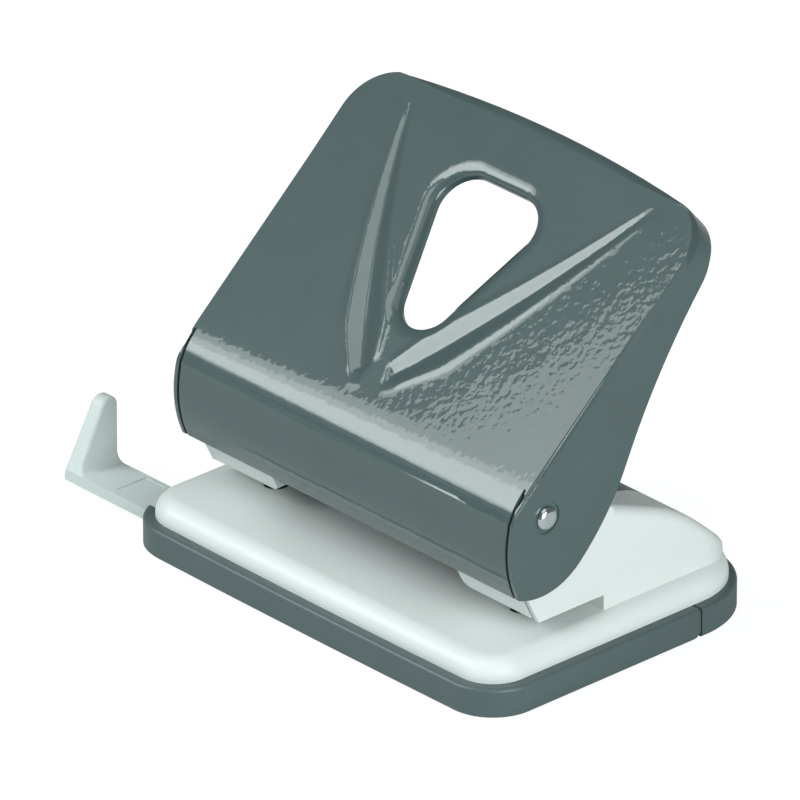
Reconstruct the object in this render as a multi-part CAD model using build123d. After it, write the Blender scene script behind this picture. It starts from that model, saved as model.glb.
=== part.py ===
"""Two-hole punch: desk punch with a pressed steel lever, a chip tray and a sliding paper guide.

Units are millimetres. X runs left to right, Y from the front to the rear, Z up.
The origin is the middle of the base's underside.
"""
from build123d import *

import math
import os

# Base: skirt outline, shared by the chip tray and the rear skirt
BASE_WIDTH = 120.0
BASE_DEPTH = 85.4
FRONT_CORNER_RADIUS = 12.0
REAR_CORNER_RADIUS = 20.0
FRONT_BOW = 0.5
SKIRT_HEIGHT = 7.0
SKIRT_WALL = 2.0
SKIRT_FLOOR = 1.2
SKIRT_RIM_WIDTH = 4.4
SKIRT_RIM_THICKNESS = 1.6
SKIRT_EDGE_RADIUS = 0.9
SEAM_FROM_REAR = 22.15
SEAM_GAP = 0.5
SEAM_WALL = 2.0
SEAM_NOTCH_DEPTH = 1.4
SEAM_NOTCH_HEIGHT = 1.6

# Base plate: pressed sheet with a rounded edge and a raised hump
SHEET = 1.2
PLATE_LEDGE = 2.7
PLATE_REAR_LEDGE = 1.5
PLATE_TOP = 12.1
PLATE_EDGE_RADIUS = 4.3
SLOT_HEIGHT = 3.7
STOP_Y = -2.1

# Punching: hole spacing and margin
HOLE_SPACING = 80.0
HOLE_MARGIN = 12.0
PIN_RADIUS = 3.0
PIN_FIT = 0.04
DIE_FIT = 0.06

# Punch frame
FRAME_WIDTH = 105.8
FRAME_REAR_GAP = 0.2
FRAME_FRONT_Y = -21.7
FRAME_EDGE_RADIUS = 3.0
TOWER_INNER_X = 30.0
TOWER_FLOOR_X = 32.5
FLOOR_REAR_Y = 10.0
FLANGE_END_X = 50.9
FLANGE_LEAN = 27.0
FLANGE_TOP = 24.0
FOLD_RADIUS = 2.0
WALL_SETBACK = 0.4
HOOD_FRONT_Y = -0.6
HOOD_START = (0.1, 36.4)
HOOD_START_SLOPE = 21.5
HOOD_BEND_Y = 15.0
HOOD_BEND_RADIUS = 42.0
HOOD_END_SLOPE = 41.0
HOOD_FLAT_BEFORE_CORNER = 0.84
LOBE_RADIUS = 7.0

# Rear cover in the hood
COVER_FRONT_HALF = 45.2
COVER_SIDE_TAPER = 0.333
COVER_REAR_Y = 31.0
COVER_THICKNESS = 1.2
COVER_LIP = 2.0
COVER_GAP = 0.12
COVER_CORNER_RADIUS = 4.0

# Lever pivot
PIVOT_Y = -20.8
PIVOT_Z = 41.7
AXLE_RADIUS = 2.0
AXLE_FIT = 0.05
AXLE_HEAD_RADIUS = 2.8
AXLE_HEAD_HEIGHT = 1.5
WASHER_RADIUS = 4.5
WASHER_THICKNESS = 0.5
WASHER_PLAY = 0.05
DIMPLE_RADIUS = 3.8
DIMPLE_DEPTH = 0.3

# Lever sheet
LEVER_WIDTH = 109.0
LEVER_SHEET = 1.0
PANEL_SLOPE = 41.5
PANEL_OVER_PIVOT = 9.36
PANEL_REACH = 40.6
PANEL_BOW = 4.0
PANEL_CORNER_RADIUS = 13.0
PANEL_EDGE_RADIUS = 2.5
NOSE_RADIUS = 27.4
NOSE_CENTRE_FROM_PIVOT = (16.9, -5.8)
NOSE_BEND_RADIUS = 9.0
NOSE_END_X = 52.7
NOSE_SLIT_TOP_Y = -25.6
EAR_LOW_FROM_PIVOT = (-1.5, -18.7)
EAR_TIP_RADIUS = 16.9
EAR_TIP_TURN = 43.0
EAR_SIDE_RADIUS = 59.0
EAR_SIDE_TURN = 23.0
EAR_BACK_RADIUS = 161.0
EAR_BACK_TURN = 17.0

# Lever cut-out, in the panel's own plane (along the slope from Y = 0)
PRESSING_SHIFT = -1.5
CUTOUT_FRONT = -13.0
CUTOUT_REAR = 24.0
CUTOUT_REAR_HALF = 14.6
CUTOUT_TIP_RADIUS = 7.4
CUTOUT_CORNER_RADIUS = 8.0
CUTOUT_FLARE = 1.6
CUTOUT_LIP = 2.8

# Lever flutes: a V of grooves that run out towards the rear corners, in the panel's plane
FLUTE_FRONT = (4.2, -26.2)
FLUTE_REAR = (38.4, 34.0)
FLUTE_RADIUS = 8.5
FLUTE_DEPTH = 1.4
FLUTE_OVERRUN = 1.08
FLUTE_SHOULDER = 4.5

# Thrust arms under the lever
ARM_REACH = 7.5
ARM_RISE = 20.0
ARM_NOSE_RADIUS = 3.0
ARM_WIDTH = 13.0
ARM_WEB = 2.4
ARM_FLANGE = 9.0
ARM_PLAY = 0.1
ARM_WELD_GAP = 0.02

# Punch pins and their fittings
PIN_TIP_CLEARANCE = 0.25
PIN_NOTCH = 1.1
PIN_TOP_CHAMFER = 0.4
CLIP_THICKNESS = 0.8
CLIP_GROOVE_DEPTH = 0.7
CLIP_RADIUS = 4.6
CLIP_PLAY = 0.1
CLIP_FIT = 0.03
CLIP_MOUTH_SHARE = 0.8
SPRING_WASHER_THICKNESS = 0.6
SPRING_WASHER_RADIUS = 4.9
BUSH_RADIUS = 4.2
BUSH_FLANGE_RADIUS = 5.6
BUSH_FLANGE_HEIGHT = 0.8
BUSH_RECESS = 0.1
GUIDE_PLATE_Z = 33.0
GUIDE_SHEET = 1.5
GUIDE_INNER_WIDTH = 11.6
GUIDE_DEPTH = 11.0
GUIDE_FOOT_GAP = 0.2
GUIDE_BEND_RADIUS = 1.8

# Return springs
SPRING_WIRE = 0.9
SPRING_MEAN_RADIUS = 4.0
SPRING_TURNS = 6
SPRING_SEAT_PLAY = 0.1

# Fasteners
RIVET_RADIUS = 1.6
RIVET_HEAD_RADIUS = 2.9
RIVET_HEAD_HEIGHT = 0.9
RIVET_X = (36.0, 46.0)
RIVET_Y = 4.5
SCREW_RADIUS = 1.5
SCREW_HEAD_RADIUS = 2.8
SCREW_HEAD_HEIGHT = 1.4
SCREW_X = 30.0
SCREW_FROM_REAR = 13.0
SCREW_HEAD_RECESS = 0.3
SCREW_SLOT = (0.6, 0.5)
SCREW_BOSS_RADIUS = 3.6
FASTENER_FIT = 0.05
DOME_SHARE = 0.93

# Chip tray hinge
HINGE_Z = 1.9
HINGE_PIN_RADIUS = 0.8
HINGE_FIT = 0.06
KNUCKLE_RADIUS = 1.7
KNUCKLE_GAP = 0.35
KNUCKLE_WIDTH = 8.0
LUG_WIDTH = 4.5
HINGE_X = 38.0

# Paper guide
BAR_FROM_FRONT = 8.2
BAR_WIDTH = 12.0
BAR_BOTTOM = 2.1
BAR_THICKNESS = 2.7
BAR_LENGTH = 111.7
FIN_FROM_EDGE = 23.0
FIN_THICKNESS = 4.6
FIN_TOP_THICKNESS = 3.8
FIN_TOP = 20.8
FIN_TOP_WIDTH = 4.1
FIN_FRONT_RADIUS = 2.8
FIN_REAR_RADIUS = 2.2
FIN_EDGE_RADIUS = 0.8
FIN_BLEND = 2.2
BAR_PANEL = (6.3, 9.0)
BAR_PANEL_DEPTH = 0.2
BAR_PANEL_OFFSET = 10.8
NOTCH_PLAY = 0.6

# Guide runner under the base plate
RUNNER_LENGTH = 34.0
RUNNER_FROM_EDGE = 10.0
RUNNER_SHEET = 1.0
RUNNER_PLAY = 0.2
RUNNER_LIFT_PLAY = 0.1
RUNNER_LIP = 2.4

# Places that follow from the sizes above
HALF_WIDTH = BASE_WIDTH / 2
HALF_DEPTH = BASE_DEPTH / 2
FRAME_HALF = FRAME_WIDTH / 2
LEVER_HALF = LEVER_WIDTH / 2
FLOOR_BOTTOM = PLATE_TOP + SLOT_HEIGHT
FLOOR_TOP = FLOOR_BOTTOM + SHEET
PIN_X = HOLE_SPACING / 2
PIN_Y = STOP_Y - HOLE_MARGIN
SLOPE = math.radians(PANEL_SLOPE)
HOOD_RUN = math.sin(math.radians(HOOD_END_SLOPE)) - math.sin(math.radians(HOOD_START_SLOPE))
FRAME_REAR_Y = HALF_DEPTH - PLATE_REAR_LEDGE - FRAME_REAR_GAP
FRAME_CORNER_RADIUS = FRAME_REAR_Y - HOOD_BEND_Y - HOOD_BEND_RADIUS * HOOD_RUN - HOOD_FLAT_BEFORE_CORNER
SEAM_Y = HALF_DEPTH - SEAM_FROM_REAR
SCREW_Y = HALF_DEPTH - SCREW_FROM_REAR
FIN_INNER_X = -HALF_WIDTH - FIN_FROM_EDGE
BAR_RIGHT_X = FIN_INNER_X + BAR_LENGTH
RUNNER_LEFT_X = -HALF_WIDTH + RUNNER_FROM_EDGE
BAR_FRONT_Y = -HALF_DEPTH + BAR_FROM_FRONT
PANEL_HEIGHT = PIVOT_Z - PIVOT_Y * math.tan(SLOPE) + PANEL_OVER_PIVOT / math.cos(SLOPE)
NOSE_CENTRE = (PIVOT_Y + NOSE_CENTRE_FROM_PIVOT[0], PIVOT_Z + NOSE_CENTRE_FROM_PIVOT[1])
EAR_LOW_POINT = (PIVOT_Y + EAR_LOW_FROM_PIVOT[0], PIVOT_Z + EAR_LOW_FROM_PIVOT[1])
ARM_Y = PIVOT_Y + ARM_REACH * math.cos(math.radians(ARM_RISE))
ARM_Z = PIVOT_Z + ARM_REACH * math.sin(math.radians(ARM_RISE))
PIN_TOP = ARM_Z - ARM_NOSE_RADIUS - ARM_PLAY
PIN_TIP = FLOOR_BOTTOM + PIN_TIP_CLEARANCE
PLATE_UNDERSIDE = PLATE_TOP - SHEET
HUMP_UNDERSIDE = FLOOR_BOTTOM - SHEET
CLIP_TOP = GUIDE_PLATE_Z - CLIP_PLAY
SPRING_BOTTOM = FLOOR_TOP + BUSH_FLANGE_HEIGHT + SPRING_SEAT_PLAY
SPRING_TOP = CLIP_TOP - CLIP_THICKNESS - SPRING_WASHER_THICKNESS - SPRING_SEAT_PLAY
BAR_REAR_Y = BAR_FRONT_Y + BAR_WIDTH
BAR_TOP = BAR_BOTTOM + BAR_THICKNESS
PANEL_PLANE = Plane(
    origin=(0, 0, PANEL_HEIGHT),
    x_dir=(1, 0, 0),
    z_dir=(0, -math.sin(SLOPE), math.cos(SLOPE)),
)
WIDE = 200.0
NEAR = 0.01
SIDES = (("left", -1), ("right", 1))


def block(x_range, y_range, z_range):
    """A box from its lowest to its highest place on each axis."""
    size = [high - low for low, high in (x_range, y_range, z_range)]
    middle = [(high + low) / 2 for low, high in (x_range, y_range, z_range)]
    return Pos(*middle) * Box(*size)


def rod(radius, start, length, axis="Z"):
    """A cylinder that starts at a point and runs along +X, +Y or +Z."""
    directions = {"X": (1, 0, 0), "Y": (0, 1, 0), "Z": (0, 0, 1)}
    plane = Plane(origin=start, z_dir=directions[axis])
    return plane * Cylinder(radius, length, align=(Align.CENTER, Align.CENTER, Align.MIN))


def across(face, half_width, centre_x=0.0):
    """A side profile, drawn as (Y, Z), made solid along X to both sides of centre_x."""
    return Pos(centre_x, 0, 0) * extrude(Plane.YZ * face, half_width, both=True)


def round_corners(plan, corners):
    """A plan with some corners rounded: each is given as its place and its radius."""
    for place, radius in corners:
        found = [v for v in plan.vertices() if math.hypot(v.X - place[0], v.Y - place[1]) < NEAR]
        plan = fillet(found, radius)
    return plan


def base_outline(inset, rear_inset=None):
    """Plan of the base, drawn in by an inset: bowed front edge, small front and large rear corners."""
    rear_inset = inset if rear_inset is None else rear_inset
    half = HALF_WIDTH - inset
    front = -HALF_DEPTH + inset
    rear = HALF_DEPTH - rear_inset
    bow = ThreePointArc((-half, front + FRONT_BOW), (0, front), (half, front + FRONT_BOW))
    rest = Polyline((half, front + FRONT_BOW), (half, rear), (-half, rear), (-half, front + FRONT_BOW))
    plan = make_face([bow, *rest.edges()])
    plan = fillet([v for v in plan.vertices() if v.Y < 0], FRONT_CORNER_RADIUS - inset)
    return fillet([v for v in plan.vertices() if v.Y > rear - NEAR], REAR_CORNER_RADIUS - inset)


def skirt_shell():
    """The whole dark skirt before it is parted: floor, side wall and an inward rim under the plate."""
    outer = extrude(base_outline(0), SKIRT_HEIGHT)
    outer = fillet(outer.faces().sort_by(Axis.Z)[-1].edges(), SKIRT_EDGE_RADIUS)
    outer = chamfer(outer.faces().sort_by(Axis.Z)[0].edges(), SKIRT_EDGE_RADIUS / 2)
    cavity = extrude(base_outline(SKIRT_WALL), SKIRT_HEIGHT - SKIRT_RIM_THICKNESS - SKIRT_FLOOR)
    mouth = extrude(base_outline(SKIRT_RIM_WIDTH), SKIRT_HEIGHT)
    return outer - Pos(0, 0, SKIRT_FLOOR) * cavity - Pos(0, 0, SKIRT_FLOOR) * mouth


def skirt_solid():
    """The skirt's outer form without its cavity, to cut the walls beside the seam from."""
    outer = extrude(base_outline(0), SKIRT_HEIGHT)
    outer = fillet(outer.faces().sort_by(Axis.Z)[-1].edges(), SKIRT_EDGE_RADIUS)
    return chamfer(outer.faces().sort_by(Axis.Z)[0].edges(), SKIRT_EDGE_RADIUS / 2)


def hinge_rod(radius, centre_x, width):
    """A cylinder on the tray's hinge line, centred on an X."""
    return rod(radius, (centre_x - width / 2, SEAM_Y, HINGE_Z), width, "X")


def hinge_pocket(centre_x, width):
    """Room round a knuckle or lug, open towards the underside."""
    radius = KNUCKLE_RADIUS + KNUCKLE_GAP
    low = block(
        (centre_x - width / 2, centre_x + width / 2),
        (SEAM_Y - radius, SEAM_Y + radius),
        (-radius, HINGE_Z),
    )
    return hinge_rod(radius, centre_x, width) + low


def lug_places(side):
    """Middles of the two skirt lugs beside one tray knuckle."""
    step = (KNUCKLE_WIDTH + LUG_WIDTH) / 2 + KNUCKLE_GAP
    return [side * HINGE_X - step, side * HINGE_X + step]


def make_chip_tray():
    """Front part of the skirt: open tray with a rear wall, two knuckles and the notch for the guide bar."""
    front_end = SEAM_Y - SEAM_GAP / 2
    front_zone = block((-WIDE, WIDE), (-WIDE, front_end), (-WIDE, WIDE))
    wall_zone = block((-WIDE, WIDE), (front_end - SEAM_WALL, front_end), (-WIDE, WIDE))
    tray = (skirt_shell() & front_zone) + (skirt_solid() & wall_zone)
    bevel = Polyline(
        (front_end - SEAM_NOTCH_DEPTH, 0),
        (front_end, SEAM_NOTCH_HEIGHT),
        (front_end + SEAM_GAP, SEAM_NOTCH_HEIGHT),
        (front_end + SEAM_GAP, -SEAM_GAP),
        (front_end - SEAM_NOTCH_DEPTH, -SEAM_GAP),
        close=True,
    )
    tray -= across(make_face(bevel.edges()), WIDE)
    for _, side in SIDES:
        for lug_x in lug_places(side):
            tray -= hinge_pocket(lug_x, LUG_WIDTH + 2 * KNUCKLE_GAP)
        tray += hinge_rod(KNUCKLE_RADIUS, side * HINGE_X, KNUCKLE_WIDTH)
        tray -= hinge_rod(HINGE_PIN_RADIUS + HINGE_FIT, side * HINGE_X, KNUCKLE_WIDTH)
    notch = block(
        (-HALF_WIDTH - SKIRT_WALL, -HALF_WIDTH + SKIRT_RIM_WIDTH + SKIRT_WALL),
        (BAR_FRONT_Y - NOTCH_PLAY, BAR_REAR_Y + NOTCH_PLAY),
        (BAR_BOTTOM - RUNNER_PLAY, 2 * SKIRT_HEIGHT),
    )
    return tray - notch


def make_rear_skirt():
    """Rear part of the skirt, fixed to the base plate, with screw bosses and the hinge lugs."""
    rear_end = SEAM_Y + SEAM_GAP / 2
    rear_zone = block((-WIDE, WIDE), (rear_end, WIDE), (-WIDE, WIDE))
    wall_zone = block((-WIDE, WIDE), (rear_end, rear_end + SEAM_WALL), (-WIDE, WIDE))
    skirt = (skirt_shell() & rear_zone) + (skirt_solid() & wall_zone)
    for _, side in SIDES:
        skirt -= hinge_pocket(side * HINGE_X, KNUCKLE_WIDTH + 2 * KNUCKLE_GAP)
        for lug_x in lug_places(side):
            skirt += hinge_rod(KNUCKLE_RADIUS, lug_x, LUG_WIDTH)
            skirt -= hinge_rod(HINGE_PIN_RADIUS + HINGE_FIT, lug_x, LUG_WIDTH)
        place = (side * SCREW_X, SCREW_Y, 0)
        skirt += rod(SCREW_BOSS_RADIUS, place, HUMP_UNDERSIDE)
        skirt -= rod(SCREW_RADIUS + FASTENER_FIT, place, HUMP_UNDERSIDE)
        skirt -= rod(SCREW_HEAD_RADIUS + 2 * FASTENER_FIT, place, SCREW_HEAD_HEIGHT + FASTENER_FIT)
    return skirt


def make_tray_hinge_pins():
    """Two steel pins through the lugs and knuckles."""
    length = KNUCKLE_WIDTH + 2 * LUG_WIDTH + 2 * KNUCKLE_GAP
    return [hinge_rod(HINGE_PIN_RADIUS, side * HINGE_X, length) for _, side in SIDES]


def make_skirt_screws():
    """Two screws from below through the bosses into the hump's sheet."""
    screws = []
    for _, side in SIDES:
        start = SCREW_HEAD_RECESS
        head = rod(SCREW_HEAD_RADIUS, (side * SCREW_X, SCREW_Y, start), SCREW_HEAD_HEIGHT - start)
        shank = rod(SCREW_RADIUS, (side * SCREW_X, SCREW_Y, start), FLOOR_BOTTOM - start)
        slot = block(
            (side * SCREW_X - SCREW_SLOT[0] / 2, side * SCREW_X + SCREW_SLOT[0] / 2),
            (SCREW_Y - SCREW_HEAD_RADIUS, SCREW_Y + SCREW_HEAD_RADIUS),
            (0, start + SCREW_SLOT[1]),
        )
        screws.append(head + shank - slot)
    return screws


def hood_profile(inset, front_y):
    """Side view below the hood's top line: a straight, an arc and a steeper straight to the rear wall."""
    start = math.radians(HOOD_START_SLOPE)
    end = math.radians(HOOD_END_SLOPE)
    bend = Vector(HOOD_BEND_Y, HOOD_START[1] - (HOOD_BEND_Y - HOOD_START[0]) * math.tan(start))
    shift = Vector(-math.sin(start), -math.cos(start)) * inset
    front = Vector(front_y, bend.Y + (HOOD_BEND_Y - front_y) * math.tan(start) - inset / math.cos(start))
    slope = Line(front, bend + shift)
    turn = JernArc(slope @ 1, slope % 1, HOOD_BEND_RADIUS - inset, -(HOOD_END_SLOPE - HOOD_START_SLOPE))
    rear_y = FRAME_REAR_Y - inset
    run = (rear_y - (turn @ 1).X) / math.cos(end)
    tail = Line(turn @ 1, (turn @ 1) + (turn % 1) * run)
    close = Polyline(tail @ 1, (rear_y, SKIRT_HEIGHT - inset), (front_y, SKIRT_HEIGHT - inset), front)
    return make_face([slope, turn, tail, *close.edges()])


def body_plan(inset, front_y):
    """Plan of the white body: straight sides and large rear corners."""
    half = FRAME_HALF - inset
    rear = FRAME_REAR_Y - inset
    outline = [(-half, front_y), (half, front_y), (half, rear), (-half, rear)]
    plan = make_face(Polyline(*outline, close=True).edges())
    corners = [v for v in plan.vertices() if v.Y > rear - NEAR]
    return fillet(corners, FRAME_CORNER_RADIUS - inset)


def white_body(inset, front_y):
    """The rounded white body under the hood, drawn in by an inset."""
    body = across(hood_profile(inset, front_y), FRAME_HALF)
    body &= extrude(body_plan(inset, front_y), WIDE)
    rim = [e for e in body.edges() if is_hood_rim(e, front_y)]
    return fillet(rim, FRAME_EDGE_RADIUS - inset)


def is_hood_rim(edge, front_y):
    """True for the edges where the hood meets the side, corner and rear walls."""
    start, middle, end = edge @ 0, edge @ 0.5, edge @ 1
    upright = abs(start.Z - end.Z) > NEAR and abs(start.Y - end.Y) < NEAR
    low = middle.Z < SKIRT_HEIGHT + NEAR
    level = abs(start.Z - end.Z) < NEAR and abs(middle.X) < NEAR
    crossing = level and middle.Y < FRAME_REAR_Y - FRAME_CORNER_RADIUS
    return not (upright or low or crossing or middle.Y < front_y + NEAR)


def make_base_plate():
    """Pressed base: rounded edge, raised hump with the paper stop, two die holes, open below."""
    def pan(inset):
        outline = base_outline(PLATE_LEDGE + inset, PLATE_REAR_LEDGE + inset)
        plate = extrude(outline, PLATE_TOP - SKIRT_HEIGHT - inset)
        plate = fillet(plate.faces().sort_by(Axis.Z)[-1].edges(), PLATE_EDGE_RADIUS - inset)
        plate = Pos(0, 0, SKIRT_HEIGHT) * plate
        hump = white_body(inset, STOP_Y + inset)
        hump -= block((-WIDE, WIDE), (-WIDE, WIDE), (FLOOR_BOTTOM - inset, WIDE))
        return plate + hump

    plate = pan(0) - pan(SHEET)
    for _, side in SIDES:
        plate -= rod(PIN_RADIUS + DIE_FIT, (side * PIN_X, PIN_Y, 0), WIDE)
        plate -= rod(SCREW_RADIUS + FASTENER_FIT, (side * SCREW_X, SCREW_Y, 0), WIDE)
        for rivet_x in RIVET_X:
            plate -= rod(RIVET_RADIUS + FASTENER_FIT, (side * rivet_x, RIVET_Y, 0), WIDE)
    return plate


def tower_wall_profile():
    """Side wall in front of the hood: leaning front edge, round lobe about the pivot, slope to the hood."""
    lean = math.tan(math.radians(FLANGE_LEAN))
    lobe = Pos(PIVOT_Y, PIVOT_Z) * Circle(LOBE_RADIUS)
    start = math.radians(HOOD_START_SLOPE)
    hood_z = HOOD_START[1] + (HOOD_START[0] - HOOD_FRONT_Y) * math.tan(start)
    foot_y = FRAME_FRONT_Y + WALL_SETBACK
    corner_y = foot_y - lean * (FLANGE_TOP - FLOOR_BOTTOM)
    shoulder = math.radians(90 - HOOD_START_SLOPE)
    tangent = (PIVOT_Y + LOBE_RADIUS * math.cos(shoulder), PIVOT_Z + LOBE_RADIUS * math.sin(shoulder))
    wall = Polyline(
        (foot_y, FLOOR_BOTTOM),
        (corner_y, FLANGE_TOP),
        (PIVOT_Y - LOBE_RADIUS, PIVOT_Z),
        tangent,
        (HOOD_FRONT_Y + SHEET, hood_z - SHEET * math.tan(start)),
        (HOOD_FRONT_Y + SHEET, FLOOR_BOTTOM),
        close=True,
    )
    return make_face(wall.edges()) + lobe


def tower_floor_profile():
    """Side view of a tower's floor and its leaning front flange, rounded at the fold."""
    lean = math.tan(math.radians(FLANGE_LEAN))
    thickness = SHEET * math.hypot(1, lean)
    top_y = FRAME_FRONT_Y - (FLANGE_TOP - FLOOR_BOTTOM) * lean
    outer_fold = (FRAME_FRONT_Y, FLOOR_BOTTOM)
    inner_fold = (FRAME_FRONT_Y + thickness - SHEET * lean, FLOOR_TOP)
    outline = Polyline(
        (STOP_Y, FLOOR_BOTTOM),
        outer_fold,
        (top_y, FLANGE_TOP),
        (top_y + thickness, FLANGE_TOP),
        inner_fold,
        (STOP_Y, FLOOR_TOP),
        close=True,
    )
    folds = ((outer_fold, FOLD_RADIUS), (inner_fold, FOLD_RADIUS - SHEET))
    return round_corners(make_face(outline.edges()), folds)


def flange_corner(side):
    """What is cut away inside a tower: the strip beside its floor and the flange's rounded lower corner."""
    radius = TOWER_FLOOR_X - TOWER_INNER_X
    lean = math.radians(FLANGE_LEAN)
    leaf = Plane(
        origin=(0, FRAME_FRONT_Y, FLOOR_BOTTOM),
        x_dir=(1, 0, 0),
        z_dir=(0, -math.cos(lean), -math.sin(lean)),
    )
    top = SHEET / 2 + radius
    strip = Pos(side * (TOWER_FLOOR_X - radius), top - WIDE / 2) * Rectangle(2 * radius, WIDE)
    strip -= Pos(side * TOWER_FLOOR_X, top) * Circle(radius)
    return extrude(leaf * strip, WIDE / 4, both=True)


def hood_zone():
    """The part of space over the frame's floor, where the hood's opening is cut."""
    return block((-WIDE, WIDE), (HOOD_FRONT_Y, WIDE), (FLOOR_TOP + SHEET, WIDE))


def make_punch_frame():
    """Pressed frame: two towers with floors, leaning front flanges and side walls, and the rear hood."""
    front = HOOD_FRONT_Y
    shell = white_body(0, front) - white_body(SHEET, front - SHEET)
    frame = shell - block((-WIDE, WIDE), (-WIDE, WIDE), (-WIDE, FLOOR_BOTTOM))
    inside = FRAME_HALF - SHEET
    frame += block((-inside, inside), (STOP_Y, FLOOR_REAR_Y), (FLOOR_BOTTOM, FLOOR_TOP))
    for _, side in SIDES:
        wall_x = side * (FRAME_HALF - SHEET / 2)
        frame += across(tower_wall_profile(), SHEET / 2, wall_x)
        middle = side * (FLANGE_END_X + TOWER_INNER_X) / 2
        tower = across(tower_floor_profile(), (FLANGE_END_X - TOWER_INNER_X) / 2, middle)
        frame += tower - flange_corner(side)
        edge = sorted((side * FLANGE_END_X, side * inside))
        frame += block(edge, (FRAME_FRONT_Y + SHEET, STOP_Y), (FLOOR_BOTTOM, FLOOR_TOP))
        frame -= rod(AXLE_RADIUS + AXLE_FIT, (wall_x - SHEET, PIVOT_Y, PIVOT_Z), 2 * SHEET, "X")
        frame -= rod(BUSH_RADIUS + FASTENER_FIT, (side * PIN_X, PIN_Y, FLOOR_BOTTOM), SHEET)
        for rivet_x in RIVET_X:
            frame -= rod(RIVET_RADIUS + FASTENER_FIT, (side * rivet_x, RIVET_Y, FLOOR_BOTTOM), SHEET)
    return frame - (extrude(cover_plan(0), WIDE) & hood_zone())


def cover_plan(grow):
    """Plan of the opening in the hood: wide in front, narrowing to the rear, with round rear corners."""
    rear = COVER_REAR_Y + grow
    front = HOOD_FRONT_Y - COVER_CORNER_RADIUS
    half_front = COVER_FRONT_HALF + grow - COVER_SIDE_TAPER * front
    half_rear = COVER_FRONT_HALF + grow - COVER_SIDE_TAPER * rear
    outline = [(-half_front, front), (half_front, front), (half_rear, rear), (-half_rear, rear)]
    plan = make_face(Polyline(*outline, close=True).edges())
    corners = [v for v in plan.vertices() if v.Y > rear - NEAR]
    return fillet(corners, COVER_CORNER_RADIUS + grow)


def make_rear_cover():
    """Moulded cover flush with the hood, with a lip that bears on the hood's underside."""
    front = HOOD_FRONT_Y
    skin = white_body(0, front) - white_body(COVER_THICKNESS, front - SHEET)
    lip = white_body(SHEET, front) - white_body(SHEET + COVER_THICKNESS, front - SHEET)
    cover = skin & extrude(cover_plan(-COVER_GAP), WIDE)
    cover += lip & extrude(cover_plan(COVER_LIP), WIDE)
    return cover & block((-WIDE, WIDE), (front, WIDE), (FLOOR_TOP + COVER_GAP, WIDE))


def make_frame_rivets():
    """Rivets through the frame's floor and the hump, with round heads above and below."""
    rivets = []
    for _, side in SIDES:
        for rivet_x in RIVET_X:
            start = HUMP_UNDERSIDE - RIVET_HEAD_HEIGHT
            rivet = rod(RIVET_RADIUS, (side * rivet_x, RIVET_Y, start), FLOOR_TOP - start)
            head = rod(RIVET_HEAD_RADIUS, (side * rivet_x, RIVET_Y, FLOOR_TOP), RIVET_HEAD_HEIGHT)
            head = fillet(head.faces().sort_by(Axis.Z)[-1].edges(), RIVET_HEAD_HEIGHT * DOME_SHARE)
            foot = rod(RIVET_HEAD_RADIUS, (side * rivet_x, RIVET_Y, start), RIVET_HEAD_HEIGHT)
            rivets.append(rivet + head + foot)
    return rivets


def panel_plan(inset):
    """Plan of the lever's panel in its own plane: bowed rear edge with large corners, long front end."""
    half = LEVER_HALF - inset
    rear = PANEL_REACH - inset
    bow = ThreePointArc((half, rear - PANEL_BOW), (0, rear), (-half, rear - PANEL_BOW))
    rest = Polyline((-half, rear - PANEL_BOW), (-half, -WIDE / 2), (half, -WIDE / 2), (half, rear - PANEL_BOW))
    plan = make_face([bow, *rest.edges()])
    corners = [v for v in plan.vertices() if v.Y > 0]
    return fillet(corners, PANEL_CORNER_RADIUS - inset)


def panel_block(inset):
    """The pan under the panel: rounded along the sides and the rear edge."""
    pan = extrude(PANEL_PLANE * panel_plan(inset), -WIDE / 2)
    pan = Pos(0, inset * math.sin(SLOPE), -inset * math.cos(SLOPE)) * pan
    level = PANEL_PLANE.offset(-inset)
    rim = [
        e for e in pan.edges()
        if abs(level.to_local_coords(e @ 0.5).Z) < NEAR and level.to_local_coords(e @ 0.5).Y > NEAR - WIDE / 2
    ]
    return fillet(rim, PANEL_EDGE_RADIUS - inset)


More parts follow.
